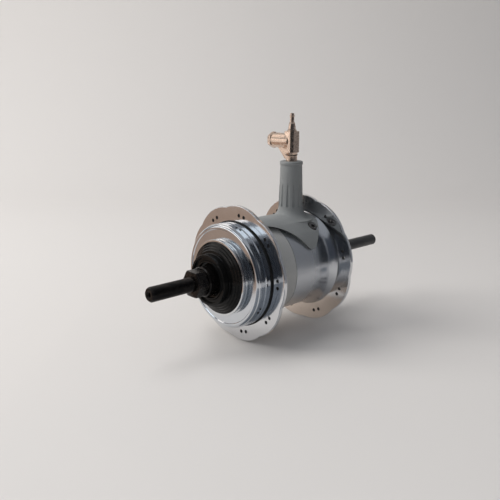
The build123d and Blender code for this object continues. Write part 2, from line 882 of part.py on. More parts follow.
def make_planet_carrier():
    """Planet cage: two plates joined by pillars, turning on the axle."""
    axle_bore = axle_radius + running_gap
    left_plate_end = carrier_left_y + carrier_left_thickness
    left_plate = turned(
        (axle_bore, carrier_left_y - carrier_boss_length),
        (carrier_boss_radius, carrier_left_y - carrier_boss_length),
        (carrier_boss_radius, carrier_left_y),
        (carrier_left_radius, carrier_left_y),
        (carrier_left_radius, left_plate_end),
        (axle_bore, left_plate_end),
    )
    sun_room = sun_pitch_radius + tooth_addendum + guard_gap
    right_plate = tube(carrier_right_radius, sun_room, carrier_right_y, carrier_end_y)
    cage = left_plate + right_plate
    for index in range(planet_count):
        x, z = polar(carrier_pillar_circle, 360 / planet_count * (index + 0.5))
        pillar = Pos(x, z) * Circle(carrier_pillar_radius)
        cage += slab(pillar, left_plate_end, carrier_right_y)
    for index in range(planet_count):
        x, z = polar(carrier_circle, 360 / planet_count * index)
        hole = Pos(x, z) * Circle(planet_pin_radius + seat_gap / 2)
        cage -= slab(hole, carrier_left_y + planet_pin_cover, carrier_end_y)
    return cage


def make_planet_pins():
    """Pins that carry the planets and reach past the cage as the clutch's high-gear dogs."""
    pins = []
    for index in range(planet_count):
        x, z = polar(carrier_circle, 360 / planet_count * index)
        sketch = Pos(x, z) * Circle(planet_pin_radius)
        pins.append(slab(sketch, carrier_left_y + planet_pin_cover, carrier_end_y + planet_pin_reach))
    return Compound(children=pins)


def make_driver():
    """Driver: slotted tube for the clutch, two ball races and the sprocket's seat."""
    outer_groove = right_ball_radius + running_gap
    race_inner = right_race_radius - outer_groove
    race_face = right_race_y + outer_groove
    cup_groove = right_ball_radius + running_gap
    cup_mouth = driver_race_radius + cup_groove
    cup_shoulder = driver_race_y - cup_groove
    tube_bore = driver_tube_radius - driver_tube_wall
    step_y = pawl_disc_end + driver_step_clearance
    groove_y = sprocket_seat_y + sprocket_thickness + seat_gap
    body = turned(
        (tube_bore, driver_left_y),
        (driver_tube_radius, driver_left_y),
        (driver_tube_radius, step_y),
        (race_inner, step_y),
        (race_inner, right_race_y),
        race_arc(right_race_radius, right_race_y, outer_groove, -1, 1),
        (driver_flange_radius, race_face),
        (driver_flange_radius, sprocket_seat_y),
        (sprocket_seat_radius, sprocket_seat_y),
        (sprocket_seat_radius, groove_y),
        (groove_radius, groove_y),
        (groove_radius, groove_y + snap_ring_thickness + seat_gap),
        (sprocket_seat_radius, groove_y + snap_ring_thickness + seat_gap),
        (sprocket_seat_radius, driver_end_y - edge_round),
        (sprocket_seat_radius - edge_round, driver_end_y),
        (cup_mouth, driver_end_y),
        (cup_mouth, driver_race_y),
        race_arc(driver_race_radius, driver_race_y, cup_groove, 1, -1),
        (driver_web_bore_radius, cup_shoulder),
        (driver_web_bore_radius, driver_web_y),
        (tube_bore, driver_web_y),
    )
    slot_width = clutch_arm_width + 4 * running_gap
    slots = Rectangle(slot_width, 4 * driver_tube_radius) + Rectangle(4 * driver_tube_radius, slot_width)
    slot_end = clutch_y + clutch_thickness + clutch_travel + face_gap
    body -= slab(slots, driver_left_y, slot_end)
    return body - slab(key_places(driver_key_radius), sprocket_seat_y, driver_end_y)


def key_places(radius):
    """Round keys spread over the sprocket's seat."""
    keys = Sketch()
    for index in range(driver_key_count):
        x, z = polar(driver_key_circle, 360 / driver_key_count * index)
        keys += Pos(x, z) * Circle(radius)
    return keys


def make_sprocket():
    """Chain sprocket with three round lugs in its bore."""
    pitch_radius = chain_pitch / 2 / sin(pi / sprocket_teeth)
    blank = Circle(pitch_radius + sprocket_tooth_tip) - Circle(sprocket_seat_radius + seat_gap)
    blank += key_places(driver_key_radius - seat_gap)
    for tooth in range(sprocket_teeth):
        direction = (tooth + 0.5) * 360 / sprocket_teeth
        seat = polar(pitch_radius, direction)
        mouth = polar(pitch_radius + 2 * chain_roller_radius, direction)
        blank -= Pos(*seat) * Circle(chain_roller_radius)
        blank -= Pos(*mouth) * Circle(sprocket_mouth_radius)
    return slab(blank, sprocket_seat_y, sprocket_seat_y + sprocket_thickness)


def make_snap_ring():
    """Split ring that holds the sprocket on the driver."""
    low_y = sprocket_seat_y + sprocket_thickness + 1.5 * seat_gap
    inner = groove_radius + seat_gap
    ring = Circle(inner + snap_ring_width) - Circle(inner)
    ring -= Pos(0, -inner) * Rectangle(snap_ring_opening, 4 * snap_ring_width)
    return slab(ring, low_y, low_y + snap_ring_thickness - seat_gap)


def make_driver_cover():
    """Black dust cover on the driver's end."""
    high_y = driver_end_y + driver_cover_thickness
    plug = driver_race_radius + right_ball_radius
    return turned(
        (driver_cover_bore_radius, driver_end_y),
        (plug - driver_cover_thickness, driver_end_y),
        (plug - driver_cover_thickness, driver_end_y - driver_cover_lip),
        (plug, driver_end_y - driver_cover_lip),
        (plug, driver_end_y),
        (driver_cover_radius, driver_end_y),
        (driver_cover_radius, high_y - edge_round),
        (driver_cover_radius - edge_round, high_y),
        (driver_cover_bore_radius, high_y),
    )


def make_right_cone():
    """Bearing cone of the right side."""
    groove = right_ball_radius + running_gap
    race_inner = driver_race_radius - groove
    race_face = driver_race_y + groove
    flange_radius = driver_race_radius + cone_lip_reach
    body_radius = driver_cover_bore_radius - 3 * guard_gap
    return turned(
        (cone_bore_radius, right_cone_nose_y),
        (race_inner - cone_nose_taper, right_cone_nose_y),
        (race_inner, right_cone_nose_y + cone_nose_taper),
        (race_inner, driver_race_y),
        race_arc(driver_race_radius, driver_race_y, groove, -1, 1),
        (flange_radius, race_face),
        (flange_radius, race_face + cone_lip_thickness),
        (body_radius, race_face + cone_lip_thickness),
        (body_radius, right_cone_face),
        (cone_bore_radius, right_cone_face),
    )


def make_clutch():
    """Four-armed clutch that slides in the driver's slots."""
    inner = axle_radius + face_gap
    sketch = Circle(driver_tube_radius - driver_tube_wall - face_gap)
    arms = Rectangle(clutch_arm_width, 2 * clutch_arm_radius)
    sketch += arms
    sketch += Rot(0, 0, 90) * arms
    sketch = sketch & Circle(clutch_arm_radius)
    sketch -= Circle(inner)
    return slab(sketch, clutch_y, clutch_y + clutch_thickness)


def make_thrust_ring():
    """Ring between the key and the turning clutch."""
    low_y = clutch_y - face_gap - thrust_ring_thickness
    return tube(thrust_ring_radius, axle_radius + face_gap, low_y, low_y + thrust_ring_thickness)


def make_axle_key():
    """Square key through the axle's slot, with the hole for the rod's tip."""
    block = Pos(0, key_y + key_width / 2, 0) * Box(key_width, key_width, 2 * key_half_length)
    hole = slab(Circle(rod_tip_radius + seat_gap), key_y, key_y + key_width)
    return block - hole


def make_shift_rod():
    """Shift rod in the axle's bore, screwed into the key."""
    return turned(
        (0, key_y),
        (rod_tip_radius, key_y),
        (rod_tip_radius, key_y + key_width),
        (rod_radius, key_y + key_width),
        (rod_radius, rod_end_y - rod_end_round),
        (rod_radius - rod_end_round, rod_end_y),
        (0, rod_end_y),
    )


def make_rod_guide():
    """Black guide sleeve on the axle's right end."""
    bore = rod_radius + 2 * running_gap
    counterbore = guide_spigot_radius + seat_gap
    seat_y = axle_right_end
    return turned(
        (counterbore, seat_y),
        (guide_radius, seat_y),
        (guide_radius, guide_end_y - nut_chamfer),
        (guide_radius - nut_chamfer, guide_end_y),
        (bore, guide_end_y),
        (bore, seat_y + guide_overlap + seat_gap),
        (counterbore, seat_y + guide_overlap + seat_gap),
    )


def make_clutch_spring():
    """Clutch spring, a coil round the axle between the clutch and the right cone."""
    low_y = clutch_y + clutch_thickness + spring_wire_radius + seat_gap
    high_y = right_cone_nose_y - spring_wire_radius - seat_gap
    path = Helix((high_y - low_y) / spring_turns, high_y - low_y, spring_radius)
    section = Plane(path @ 0, z_dir=path % 0) * Circle(spring_wire_radius)
    coil = sweep(section, path=path)
    return Pos(0, low_y, 0) * (Rot(-90, 0, 0) * coil)


def make_tower():
    """Upright tube of the saddle, with a rim at the top and flutes at the foot."""
    rim_z = tower_top_z - tower_rim_height
    base_z = barrel_radius - barrel_wall
    foot = (dome_radius, barrel_radius)
    waist = (tower_base_radius, dome_top_z)
    profile = wire_through(
        (0, base_z),
        (dome_radius, base_z),
        foot,
        bowed(foot, waist, dome_bow),
        (tower_top_radius, rim_z),
        (tower_rim_radius, rim_z + tower_rim_round),
        (tower_rim_radius, tower_top_z - tower_rim_round),
        (tower_rim_radius - tower_rim_round, tower_top_z),
        (0, tower_top_z),
    )
    tower = revolve(Plane.XZ * profile, Axis.Z, 360)
    beyond = Pos(0, saddle_right_y - stem_y + dome_radius, 0) * Box(
        2 * dome_radius, 2 * dome_radius, 2 * tower_top_z
    )
    tower -= beyond
    flute_circle = tower_base_radius + flute_radius - flute_depth
    flute = Pos(0, 0, flute_bottom_z) * extrude(Circle(flute_radius), flute_top_z - flute_bottom_z)
    flute += Pos(0, 0, flute_top_z + flute_run_out / 2) * Cone(flute_radius, flute_tip_radius, flute_run_out)
    for place in PolarLocations(flute_circle, flute_count):
        tower -= place * flute
    return Pos(0, stem_y, 0) * tower


def make_saddle():
    """Grey moulded saddle: a curved plate with an ear down each side, and the tower."""
    reach = 2 * saddle_outer_radius
    length = saddle_right_y - saddle_left_y
    blank = extrude(Plane.XZ.offset(-saddle_left_y) * Circle(saddle_outer_radius), length, dir=(0, 1, 0))
    blank = Pos(0, 0, saddle_crown_rise) * blank
    plate = blank & extrude(Plane.YZ * saddle_side(reach), saddle_outer_radius, both=True)
    flare_start, flare_middle, flare_end = barrel_flare(seat_gap)
    barrel_room = turned(
        (0, 0),
        (saddle_bore_radius, 0),
        flare_start,
        (flare_middle, flare_end),
        (0, right_flange_y),
    )
    saddle = (plate + make_tower()) - barrel_room
    saddle -= Pos(0, stem_y, 0) * extrude(Circle(nipple_radius + seat_gap), 2 * tower_top_z)
    for side_sign in (-1, 1):
        saddle -= at_screw(side_sign, screw_pocket())
    return saddle


def saddle_side(reach):
    """Side view of the saddle's plate as (y, z), open upward to a given height."""
    ear_centre_z = saddle_ear_z + saddle_ear_round
    left_x, left_z = polar(saddle_ear_round, saddle_ear_left_angle)
    right_x, right_z = polar(saddle_ear_round, saddle_ear_right_angle)
    left_foot = (saddle_ear_y - left_x, ear_centre_z - left_z)
    right_foot = (saddle_ear_y + right_x, ear_centre_z - right_z)
    right_rise = (saddle_right_y - right_foot[0]) * tan(radians(saddle_ear_right_angle))
    left_tip = (saddle_left_y, saddle_left_z)
    return wire_through(
        left_tip,
        bowed(left_tip, left_foot, saddle_edge_bow),
        ((saddle_ear_y, saddle_ear_z), right_foot),
        (saddle_right_y, right_foot[1] + right_rise),
        (saddle_right_y, reach),
        (saddle_left_y, reach),
    )


def at_screw(side_sign, shape):
    """Stand a piece drawn along +Z on the barrel at one of the saddle screws."""
    return Pos(0, screw_y, 0) * (Rot(0, side_sign * screw_angle, 0) * shape)


def screw_pocket():
    """Round pocket for a saddle screw, with its hole."""
    pocket = Pos(0, 0, screw_floor_radius) * extrude(Circle(screw_pocket_radius), 3 * saddle_crown_rise)
    depth = 2 * screw_pocket_floor
    hole = extrude(Circle(screw_shank_radius + seat_gap), depth)
    return pocket + Pos(0, 0, screw_floor_radius - depth) * hole


def make_saddle_screws():
    """Socket screws in the saddle's pockets."""
    shank_length = screw_pocket_floor - screw_shank_gap
    screws = []
    for side_sign in (-1, 1):
        head = extrude(Circle(screw_head_radius), screw_head_height)
        shank = Pos(0, 0, -shank_length) * extrude(Circle(screw_shank_radius), shank_length)
        socket = extrude(RegularPolygon(screw_socket_radius, 6), screw_head_height)
        socket = Pos(0, 0, screw_socket_floor) * socket
        screw = Pos(0, 0, screw_floor_radius) * (head + shank - socket)
        screws.append(at_screw(side_sign, screw))
    return Compound(children=screws)


def upright(outer, inner, low_z, high_z):
    """Tube or pin that stands on the stem's axis."""
    section = Circle(outer) - Circle(inner) if inner else Circle(outer)
    return Pos(0, stem_y, low_z) * extrude(section, high_z - low_z)


def make_nipple():
    """Plated tube from the shell's port through the tower to the elbow."""
    return upright(nipple_radius, nipple_bore_radius, barrel_bore_radius + nipple_end_gap, elbow_bottom_z)


def make_elbow():
    """Plated elbow: an eight-sided upright body with a round arm and a web under it."""
    section = Rectangle(2 * elbow_half_width, 2 * elbow_half_width)
    section = chamfer(section.vertices(), elbow_corner)
    neck_top_z = elbow_bottom_z + elbow_neck_height
    taper_top_z = neck_top_z + elbow_taper_height
    body = Pos(0, stem_y, taper_top_z) * extrude(section, elbow_top_z - taper_top_z)
    taper = Cone(elbow_neck_radius, elbow_half_width, elbow_taper_height)
    body += Pos(0, stem_y, neck_top_z + elbow_taper_height / 2) * taper
    body += upright(elbow_neck_radius, 0, elbow_bottom_z, neck_top_z)
    arm = Rot(0, -90, 0) * extrude(Circle(elbow_arm_radius), elbow_arm_length)
    body += Pos(0, stem_y, elbow_arm_z) * arm
    web = Polygon(
        (-gusset_reach, elbow_arm_z - elbow_arm_radius + gusset_rise),
        (-elbow_neck_radius, elbow_bottom_z + gusset_rise),
        (0, elbow_bottom_z + gusset_rise),
        (0, elbow_arm_z),
        align=None,
    )
    body += extrude(Plane.XZ.offset(-stem_y) * web, gusset_thickness / 2, both=True)
    body += upright(valve_collar_radius, 0, elbow_top_z, elbow_top_z + valve_collar_height)
    return body - upright(nipple_bore_radius, 0, elbow_bottom_z, elbow_arm_z)


def make_elbow_cap():
    """Hexagon cap nut on the end of the elbow's arm."""
    corner = cap_flats / 2 / cos(pi / 6)
    hexagon = RegularPolygon(cap_flats / 2, 6, major_radius=False)
    nut = Pos(0, 0, cap_gasket) * extrude(hexagon, cap_thickness)
    cone = Cone(corner + cap_thickness / 2, corner - cap_corner_cut, cap_thickness)
    turned_off = Pos(0, 0, cap_gasket + cap_thickness / 2) * cone
    cap = extrude(Circle(cap_neck_radius), cap_gasket) + (nut & turned_off)
    return Pos(-elbow_arm_length, stem_y, elbow_arm_z) * (Rot(0, -90, 0) * cap)


def make_valve_stem():
    """Valve stem on the elbow: a waisted body and a thin tube."""
    low_z = elbow_top_z + valve_collar_height
    profile = wire_through(
        (0, low_z),
        (valve_foot_radius, low_z),
        (valve_radius, low_z + valve_neck_height),
        (valve_neck_radius, valve_shoulder_z - valve_neck_height),
        (valve_shoulder_radius, valve_shoulder_z),
        (valve_tube_radius, valve_shoulder_z + valve_tip_round),
        (valve_tube_radius, valve_tip_z - valve_tip_round),
        (valve_tube_radius - valve_tip_round, valve_tip_z),
        (valve_bore_radius, valve_tip_z),
        (valve_bore_radius, low_z + valve_floor),
        (0, low_z + valve_floor),
    )
    return Pos(0, stem_y, 0) * revolve(Plane.XZ * profile, Axis.Z, 360)


def make_valve_pin():
    """Sprung pin inside the valve's tube."""
    low_z = elbow_top_z + valve_collar_height + valve_floor + valve_pin_travel + face_gap
    return upright(valve_bore_radius - valve_pin_gap, 0, low_z, valve_tip_z - valve_pin_sink)


def make_left_locknut():
    """Black hexagon locknut of the left side."""
    return hexagon_nut(
        locknut_flats,
        left_locknut_face,
        left_locknut_face + left_locknut_thickness,
        cone_bore_radius,
    )


def make_right_locknut():
    """Hexagon locknut of the right side."""
    return hexagon_nut(
        locknut_flats,
        right_locknut_face - right_locknut_thickness,
        right_locknut_face,
        cone_bore_radius,
    )


def make_lock_washer():
    """Washer between the right cone and its locknut."""
    far_y = right_cone_face + lock_washer_thickness
    return tube(lock_washer_radius, sun_bore_radius, right_cone_face, far_y)


def make_all():
    """Every piece of the hub by name."""
    pieces = {
        "axle": make_axle(),
        "sun_gear": make_sun_gear(),
        "left_cone": make_left_cone(),
        "left_locknut": make_left_locknut(),
        "right_cone": make_right_cone(),
        "right_lock_washer": make_lock_washer(),
        "right_locknut": make_right_locknut(),
        "rod_guide": make_rod_guide(),
        "hub_shell": make_hub_shell(),
        "left_flange": make_flange(0, left_pair_angle),
        "right_flange": make_flange(right_flange_y, right_pair_angle),
        "left_drum": make_left_drum(),
        "seal_ring": make_seal_ring(),
        "knurled_ring": make_knurled_ring(),
        "dust_cover": make_dust_cover(),
        "grey_band": make_grey_band(),
        "right_ball_ring": make_right_ball_ring(),
        "stem_saddle": make_saddle(),
        "saddle_screws": make_saddle_screws(),
        "stem_nipple": make_nipple(),
        "elbow_body": make_elbow(),
        "elbow_cap": make_elbow_cap(),
        "valve_stem": make_valve_stem(),
        "valve_pin": make_valve_pin(),
        "left_balls": ball_ring(left_ball_radius, left_race_radius, left_race_y),
        "right_balls": ball_ring(right_ball_radius, right_race_radius, right_race_y),
        "driver_balls": ball_ring(right_ball_radius, driver_race_radius, driver_race_y),
        "ring_gear": make_ring_gear(),
        "pawl_pins": make_pawl_pins(),
        "planet_carrier": make_planet_carrier(),
        "planet_pins": make_planet_pins(),
        "driver": make_driver(),
        "sprocket": make_sprocket(),
        "snap_ring": make_snap_ring(),
        "driver_dust_cover": make_driver_cover(),
        "clutch": make_clutch(),
        "clutch_spring": make_clutch_spring(),
        "thrust_ring": make_thrust_ring(),
        "axle_key": make_axle_key(),
        "shift_rod": make_shift_rod(),
    }
    for index in range(planet_count):
        pieces[f"planet_gear_{index + 1}"] = make_planet(index)
    for index in range(pawl_count):
        pieces[f"drive_pawl_{index + 1}"] = make_pawl(index)
    return pieces


def write_parts():
    """Write one file for each piece."""
    os.makedirs("parts", exist_ok=True)
    for name, piece in make_all().items():
        export_step(piece, f"parts/{name}.step")


write_parts()
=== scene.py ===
from math import atan2, cos, pi, radians, sin

import bmesh
import bpy
from mathutils import Matrix, Vector


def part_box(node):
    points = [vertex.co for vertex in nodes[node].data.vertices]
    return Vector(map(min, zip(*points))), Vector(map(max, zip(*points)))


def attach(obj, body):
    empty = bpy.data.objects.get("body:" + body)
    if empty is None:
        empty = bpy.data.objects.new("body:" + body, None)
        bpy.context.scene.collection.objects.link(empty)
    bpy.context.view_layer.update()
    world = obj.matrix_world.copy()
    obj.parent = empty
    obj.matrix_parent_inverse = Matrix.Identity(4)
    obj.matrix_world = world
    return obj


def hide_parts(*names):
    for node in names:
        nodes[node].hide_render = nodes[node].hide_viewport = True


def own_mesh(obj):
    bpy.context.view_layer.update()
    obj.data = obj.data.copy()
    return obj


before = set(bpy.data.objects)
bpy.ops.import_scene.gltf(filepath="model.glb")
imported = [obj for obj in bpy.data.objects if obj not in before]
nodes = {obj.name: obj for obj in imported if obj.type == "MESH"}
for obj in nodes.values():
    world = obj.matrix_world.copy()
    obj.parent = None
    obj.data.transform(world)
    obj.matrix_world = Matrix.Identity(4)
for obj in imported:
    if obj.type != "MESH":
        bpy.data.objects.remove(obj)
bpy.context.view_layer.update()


# The view: the hub seen from its left end and a little above, as in the photograph.
# The camera stands less than half a metre away, and a normal lens gives the field of view.
mm = 0.001
view_azimuth = radians(47.46)
view_elevation = radians(14.40)
view_roll = radians(0.16)
view_distance = 457.6 * mm
view_right = 10.1 * mm
view_up = 16.3 * mm
lens_length = 47.28
nearest_seen = 10 * mm

back = Vector((
    sin(view_azimuth) * cos(view_elevation),
    -cos(view_azimuth) * cos(view_elevation),
    sin(view_elevation),
))
level = Vector((cos(view_azimuth), sin(view_azimuth), 0))
upward = back.cross(level)
right = cos(view_roll) * level + sin(view_roll) * upward
up = cos(view_roll) * upward - sin(view_roll) * level
camera_data = bpy.data.cameras.new("camera")
camera_data.lens = lens_length
camera_data.clip_start = nearest_seen
camera = bpy.data.objects.new("camera", camera_data)
stand = Matrix.Translation(back * view_distance + right * view_right + up * view_up)
camera.matrix_world = stand @ Matrix((right, up, back)).transposed().to_4x4()
bpy.context.scene.collection.objects.link(camera)
bpy.context.scene.camera = camera
bpy.context.scene.view_settings.view_transform = "Standard"


# The studio: a pale floor that sweeps up behind the hub, a pale wall round it for the other
# views, soft lamps, and cards out of view that paint reflections on the polished metal: seen only
# in reflections, they cast no shadow and light nothing; the glowing ones paint highlights and the
# dark ones paint dark reflections.
floor_z = -48.7 * mm
floor_reach = 1.6
sweep_radius = 0.5
sweep_start = 0.55
sweep_steps = 24
wall_height = 1.6
height_slack = 1 * mm
paper_roughness = 0.9
floor_colour = (0.66, 0.635, 0.615, 1)


def stage_material(name, colour, glow=0.0):
    material = bpy.data.materials.new(name)
    material.use_nodes = True
    surface = material.node_tree.nodes["Principled BSDF"]
    surface.inputs["Base Color"].default_value = colour
    surface.inputs["Roughness"].default_value = paper_roughness
    if glow:
        surface.inputs["Emission Color"].default_value = colour
        surface.inputs["Emission Strength"].default_value = glow
    return material


away = -Vector((back.x, back.y, 0)).normalized()
across = Vector((-away.y, away.x, 0))
sweep = bmesh.new()
edge = [sweep.verts.new(away * -floor_reach + across * side + Vector((0, 0, floor_z)))
        for side in (-floor_reach, floor_reach)]
start_line = sweep.edges.new(edge)
flat = bmesh.ops.extrude_edge_only(sweep, edges=[start_line])
moved = [item for item in flat["geom"] if isinstance(item, bmesh.types.BMVert)]
bmesh.ops.translate(sweep, verts=moved, vec=away * (floor_reach + sweep_start))
bmesh.ops.spin(
    sweep,
    geom=moved + [item for item in flat["geom"] if isinstance(item, bmesh.types.BMEdge)],
    cent=away * sweep_start + Vector((0, 0, floor_z + sweep_radius)),
    axis=across,
    angle=-pi / 2,
    steps=sweep_steps,
)
sweep.verts.ensure_lookup_table()
top = [vert for vert in sweep.verts if vert.co.z > floor_z + sweep_radius - height_slack]
rise = bmesh.ops.extrude_edge_only(
    sweep, edges=[one for one in sweep.edges if all(vert in top for vert in one.verts)]
)
bmesh.ops.translate(
    sweep,
    verts=[item for item in rise["geom"] if isinstance(item, bmesh.types.BMVert)],
    vec=(0, 0, wall_height),
)
bmesh.ops.recalc_face_normals(sweep, faces=sweep.faces)
sweep_mesh = bpy.data.meshes.new("studio_sweep")
sweep.to_mesh(sweep_mesh)
sweep.free()
sweep_mesh.shade_smooth()
sweep_mesh.materials.append(stage_material("studio_paper", floor_colour))
studio_sweep = bpy.data.objects.new("studio_sweep", sweep_mesh)
bpy.context.scene.collection.objects.link(studio_sweep)

round_wall_radius = 1.55
round_wall_foot = 0.35
round_wall_height = 1.8
round_wall_lift = 0.2 * mm
round_wall_steps = 64
round_wall_glow = 0.22
foot_steps = 10
round_wall = bmesh.new()
wall_line = [round_wall.verts.new((
    round_wall_radius - round_wall_foot * (1 - sin(pi / 2 * step / foot_steps)), 0,
    floor_z + round_wall_foot * (1 - cos(pi / 2 * step / foot_steps)) + round_wall_lift,
)) for step in range(foot_steps + 1)]
wall_line.append(round_wall.verts.new((round_wall_radius, 0, round_wall_height)))
wall_edges = [round_wall.edges.new(pair) for pair in zip(wall_line, wall_line[1:])]
bmesh.ops.spin(
    round_wall, geom=wall_line + wall_edges, cent=(0, 0, 0), axis=(0, 0, 1), angle=2 * pi,
    steps=round_wall_steps, use_merge=True,
)
bmesh.ops.recalc_face_normals(round_wall, faces=round_wall.faces)
bmesh.ops.reverse_faces(round_wall, faces=round_wall.faces)
round_mesh = bpy.data.meshes.new("studio_wall")
round_wall.to_mesh(round_mesh)
round_wall.free()
round_mesh.shade_smooth()
round_mesh.materials.append(stage_material("wall_paper", floor_colour, round_wall_glow))
studio_wall = bpy.data.objects.new("studio_wall", round_mesh)
studio_wall.visible_glossy = False
studio_wall.visible_diffuse = False
studio_wall.visible_shadow = False
bpy.context.scene.collection.objects.link(studio_wall)


# A card is seen only in reflections: where it glows it paints a highlight, where it is dark it
# paints a dark reflection.
def studio_card(name, centre, facing, width, height, colour, glow):
    card = bmesh.new()
    bmesh.ops.create_grid(card, x_segments=1, y_segments=1, size=0.5)
    bmesh.ops.scale(card, vec=(width, height, 1), verts=card.verts)
    turn = Vector(facing).to_track_quat("Z", "Y").to_matrix().to_4x4()
    bmesh.ops.transform(card, matrix=Matrix.Translation(centre) @ turn, verts=card.verts)
    mesh = bpy.data.meshes.new(name)
    card.to_mesh(mesh)
    card.free()
    mesh.materials.append(stage_material(name, colour, glow))
    board = bpy.data.objects.new(name, mesh)
    board.visible_camera = False
    board.visible_shadow = False
    board.visible_diffuse = False
    bpy.context.scene.collection.objects.link(board)


warm_tone = (0.40, 0.29, 0.225, 1)
sand_tone = (0.47, 0.385, 0.32, 1)
grey_tone = (0.22, 0.23, 0.25, 1)
slate_tone = (0.20, 0.215, 0.235, 1)
shade_tone = (0.05, 0.06, 0.08, 1)
dark_reflection_tone = (0.040, 0.048, 0.062, 1)
bright_highlight_tone = (0.86, 0.94, 1.0, 1)
lamp_highlight_tone = (1.0, 0.95, 0.90, 1)
pale_highlight_tone = (1.0, 0.96, 0.92, 1)
# Painted reflections: the cards with glow paint highlights, the dark cards paint dark reflections.
for name, centre, facing, width, height, tone, glow in (
    ("warm_card", (-0.088, -0.092, -0.012), (0.70, 0.72, 0.08), 0.30, 0.077, warm_tone, 0.55),
    ("under_card", (-0.015, 0.038, -0.0484), (0, 0, 1), 0.09, 0.055, sand_tone, 0.36),
    ("grey_card", (0.184, 0.199, 0.110), (-0.73, -0.62, -0.30), 0.36, 0.32, grey_tone, 0.0),
    ("dark_card", (0.165, -0.150, 0.105), (-0.68, 0.66, -0.30), 0.34, 0.30, dark_reflection_tone, 0.0),
    ("front_card", (0.085, -0.075, -0.0484), (0, 0, 1), 0.15, 0.13, slate_tone, 0.0),
    ("sky_highlight_card", (-0.24, -0.62, 0.76), (0.25, 0.64, -0.73), 0.42, 0.30, bright_highlight_tone, 0.75),
    ("shade_card", (0.255, 0.030, 0.105), (-0.95, -0.10, -0.30), 0.25, 0.25, shade_tone, 0.0),
    ("side_card", (0.62, -0.33, 0.36), (-0.79, 0.46, -0.46), 0.16, 0.16, bright_highlight_tone, 0.18),
    ("left_card", (-0.55, -0.15, 0.60), (0.65, 0.20, -0.73), 0.55, 0.40, lamp_highlight_tone, 0.75),
    ("low_card", (-0.62, -0.87, 0.24), (0.57, 0.80, -0.20), 1.00, 0.40, pale_highlight_tone, 0.70),
):
    studio_card(name, Vector(centre), facing, width, height, tone, glow)


def soft_lamp(name, place, aim, width, height, power, colour):
    lamp_data = bpy.data.lights.new(name, "AREA")
    lamp_data.shape = "RECTANGLE"
    lamp_data.size = width
    lamp_data.size_y = height
    lamp_data.energy = power
    lamp_data.color = colour
    lamp = bpy.data.objects.new(name, lamp_data)
    lamp.visible_glossy = False
    turn_to = (Vector(aim) - Vector(place)).to_track_quat("-Z", "Y").to_matrix().to_4x4()
    lamp.matrix_world = Matrix.Translation(place) @ turn_to
    bpy.context.scene.collection.objects.link(lamp)


for name, place, aim, width, height, power, tone in (
    ("window_lamp", (-0.80, -0.95, 0.85), (0, 0.03, 0.03), 0.9, 0.9, 19.0, (1.0, 0.985, 0.96)),
    ("side_lamp", (0.80, -0.85, 0.50), (0, 0.03, 0.0), 0.6, 0.8, 2.2, (0.90, 0.95, 1.0)),
    ("top_lamp", (-0.35, -0.10, 1.25), (0, 0.05, 0), 0.8, 0.6, 5.0, (1.0, 1.0, 1.0)),
):
    soft_lamp(name, place, aim, width, height, power, tone)

air_lowest = -0.3
air_strength = 0.42
ground_place = 0.10
ground_air = (0.20, 0.19, 0.19, 1)
zenith_air = (0.85, 0.88, 0.93, 1)
air_between = ((0.34, (0.30, 0.31, 0.34, 1)), (0.52, (0.62, 0.64, 0.68, 1)))
world = bpy.data.worlds.new("studio_air")
bpy.context.scene.world = world
world.use_nodes = True
air = world.node_tree
air_colour = air.nodes["Background"]
direction = air.nodes.new("ShaderNodeTexCoord")
height_part = air.nodes.new("ShaderNodeSeparateXYZ")
sky_ramp = air.nodes.new("ShaderNodeValToRGB")
air.links.new(direction.outputs["Generated"], height_part.inputs["Vector"])
height_map = air.nodes.new("ShaderNodeMapRange")
height_map.inputs["From Min"].default_value = air_lowest
height_map.inputs["From Max"].default_value = 1.0
air.links.new(height_part.outputs["Z"], height_map.inputs["Value"])
air.links.new(height_map.outputs["Result"], sky_ramp.inputs["Fac"])
sky_ramp.color_ramp.elements[0].position = ground_place
sky_ramp.color_ramp.elements[0].color = ground_air
sky_ramp.color_ramp.elements[1].position = 1.0
sky_ramp.color_ramp.elements[1].color = zenith_air
for place, colour in air_between:
    band = sky_ramp.color_ramp.elements.new(place)
    band.color = colour
air.links.new(sky_ramp.outputs["Color"], air_colour.inputs["Color"])
air_colour.inputs["Strength"].default_value = air_strength


# The axle: a hardened steel rod with a rolled thread at each end, blackened in an oxide bath.
# A centre hole from the lathe is left in its left tip, its right end is drilled for the shift
# rod, and a spigot there carries the guide.
axle_radius = 5.0 * mm
thread_pitch = 1.0 * mm
thread_depth = 0.55 * mm
thread_run_out = 0.6 * mm
thread_chamfer = 0.5 * mm
crest_start = 0.42
crest_end = 0.58
centre_hole = 1.6 * mm
centre_mouth = 0.9 * mm
centre_depth = 4.0 * mm
spigot_radius = 3.5 * mm
spigot_length = 6.0 * mm
rod_bore = 2.62 * mm
rod_bore_end = 41.6 * mm
weld_distance = 0.002 * mm


def lathe(name, profile, segments=96, sharp=30):
    shape = bmesh.new()
    ring = [shape.verts.new((radius, y, 0)) for radius, y in profile]
    line = [shape.edges.new(pair) for pair in zip(ring, ring[1:] + ring[:1])]
    bmesh.ops.spin(
        shape, geom=ring + line, cent=(0, 0, 0), axis=(0, 1, 0), angle=2 * pi,
        steps=segments, use_merge=True,
    )
    bmesh.ops.remove_doubles(shape, verts=shape.verts, dist=weld_distance)
    bmesh.ops.recalc_face_normals(shape, faces=shape.faces)
    return finish_mesh(name, shape, sharp)


def finish_mesh(name, shape, sharp=30):
    mesh = bpy.data.meshes.new(name)
    shape.to_mesh(mesh)
    shape.free()
    mesh.shade_smooth()
    mesh.set_sharp_from_angle(angle=radians(sharp))
    piece = bpy.data.objects.new(name, mesh)
    bpy.context.scene.collection.objects.link(piece)
    return piece


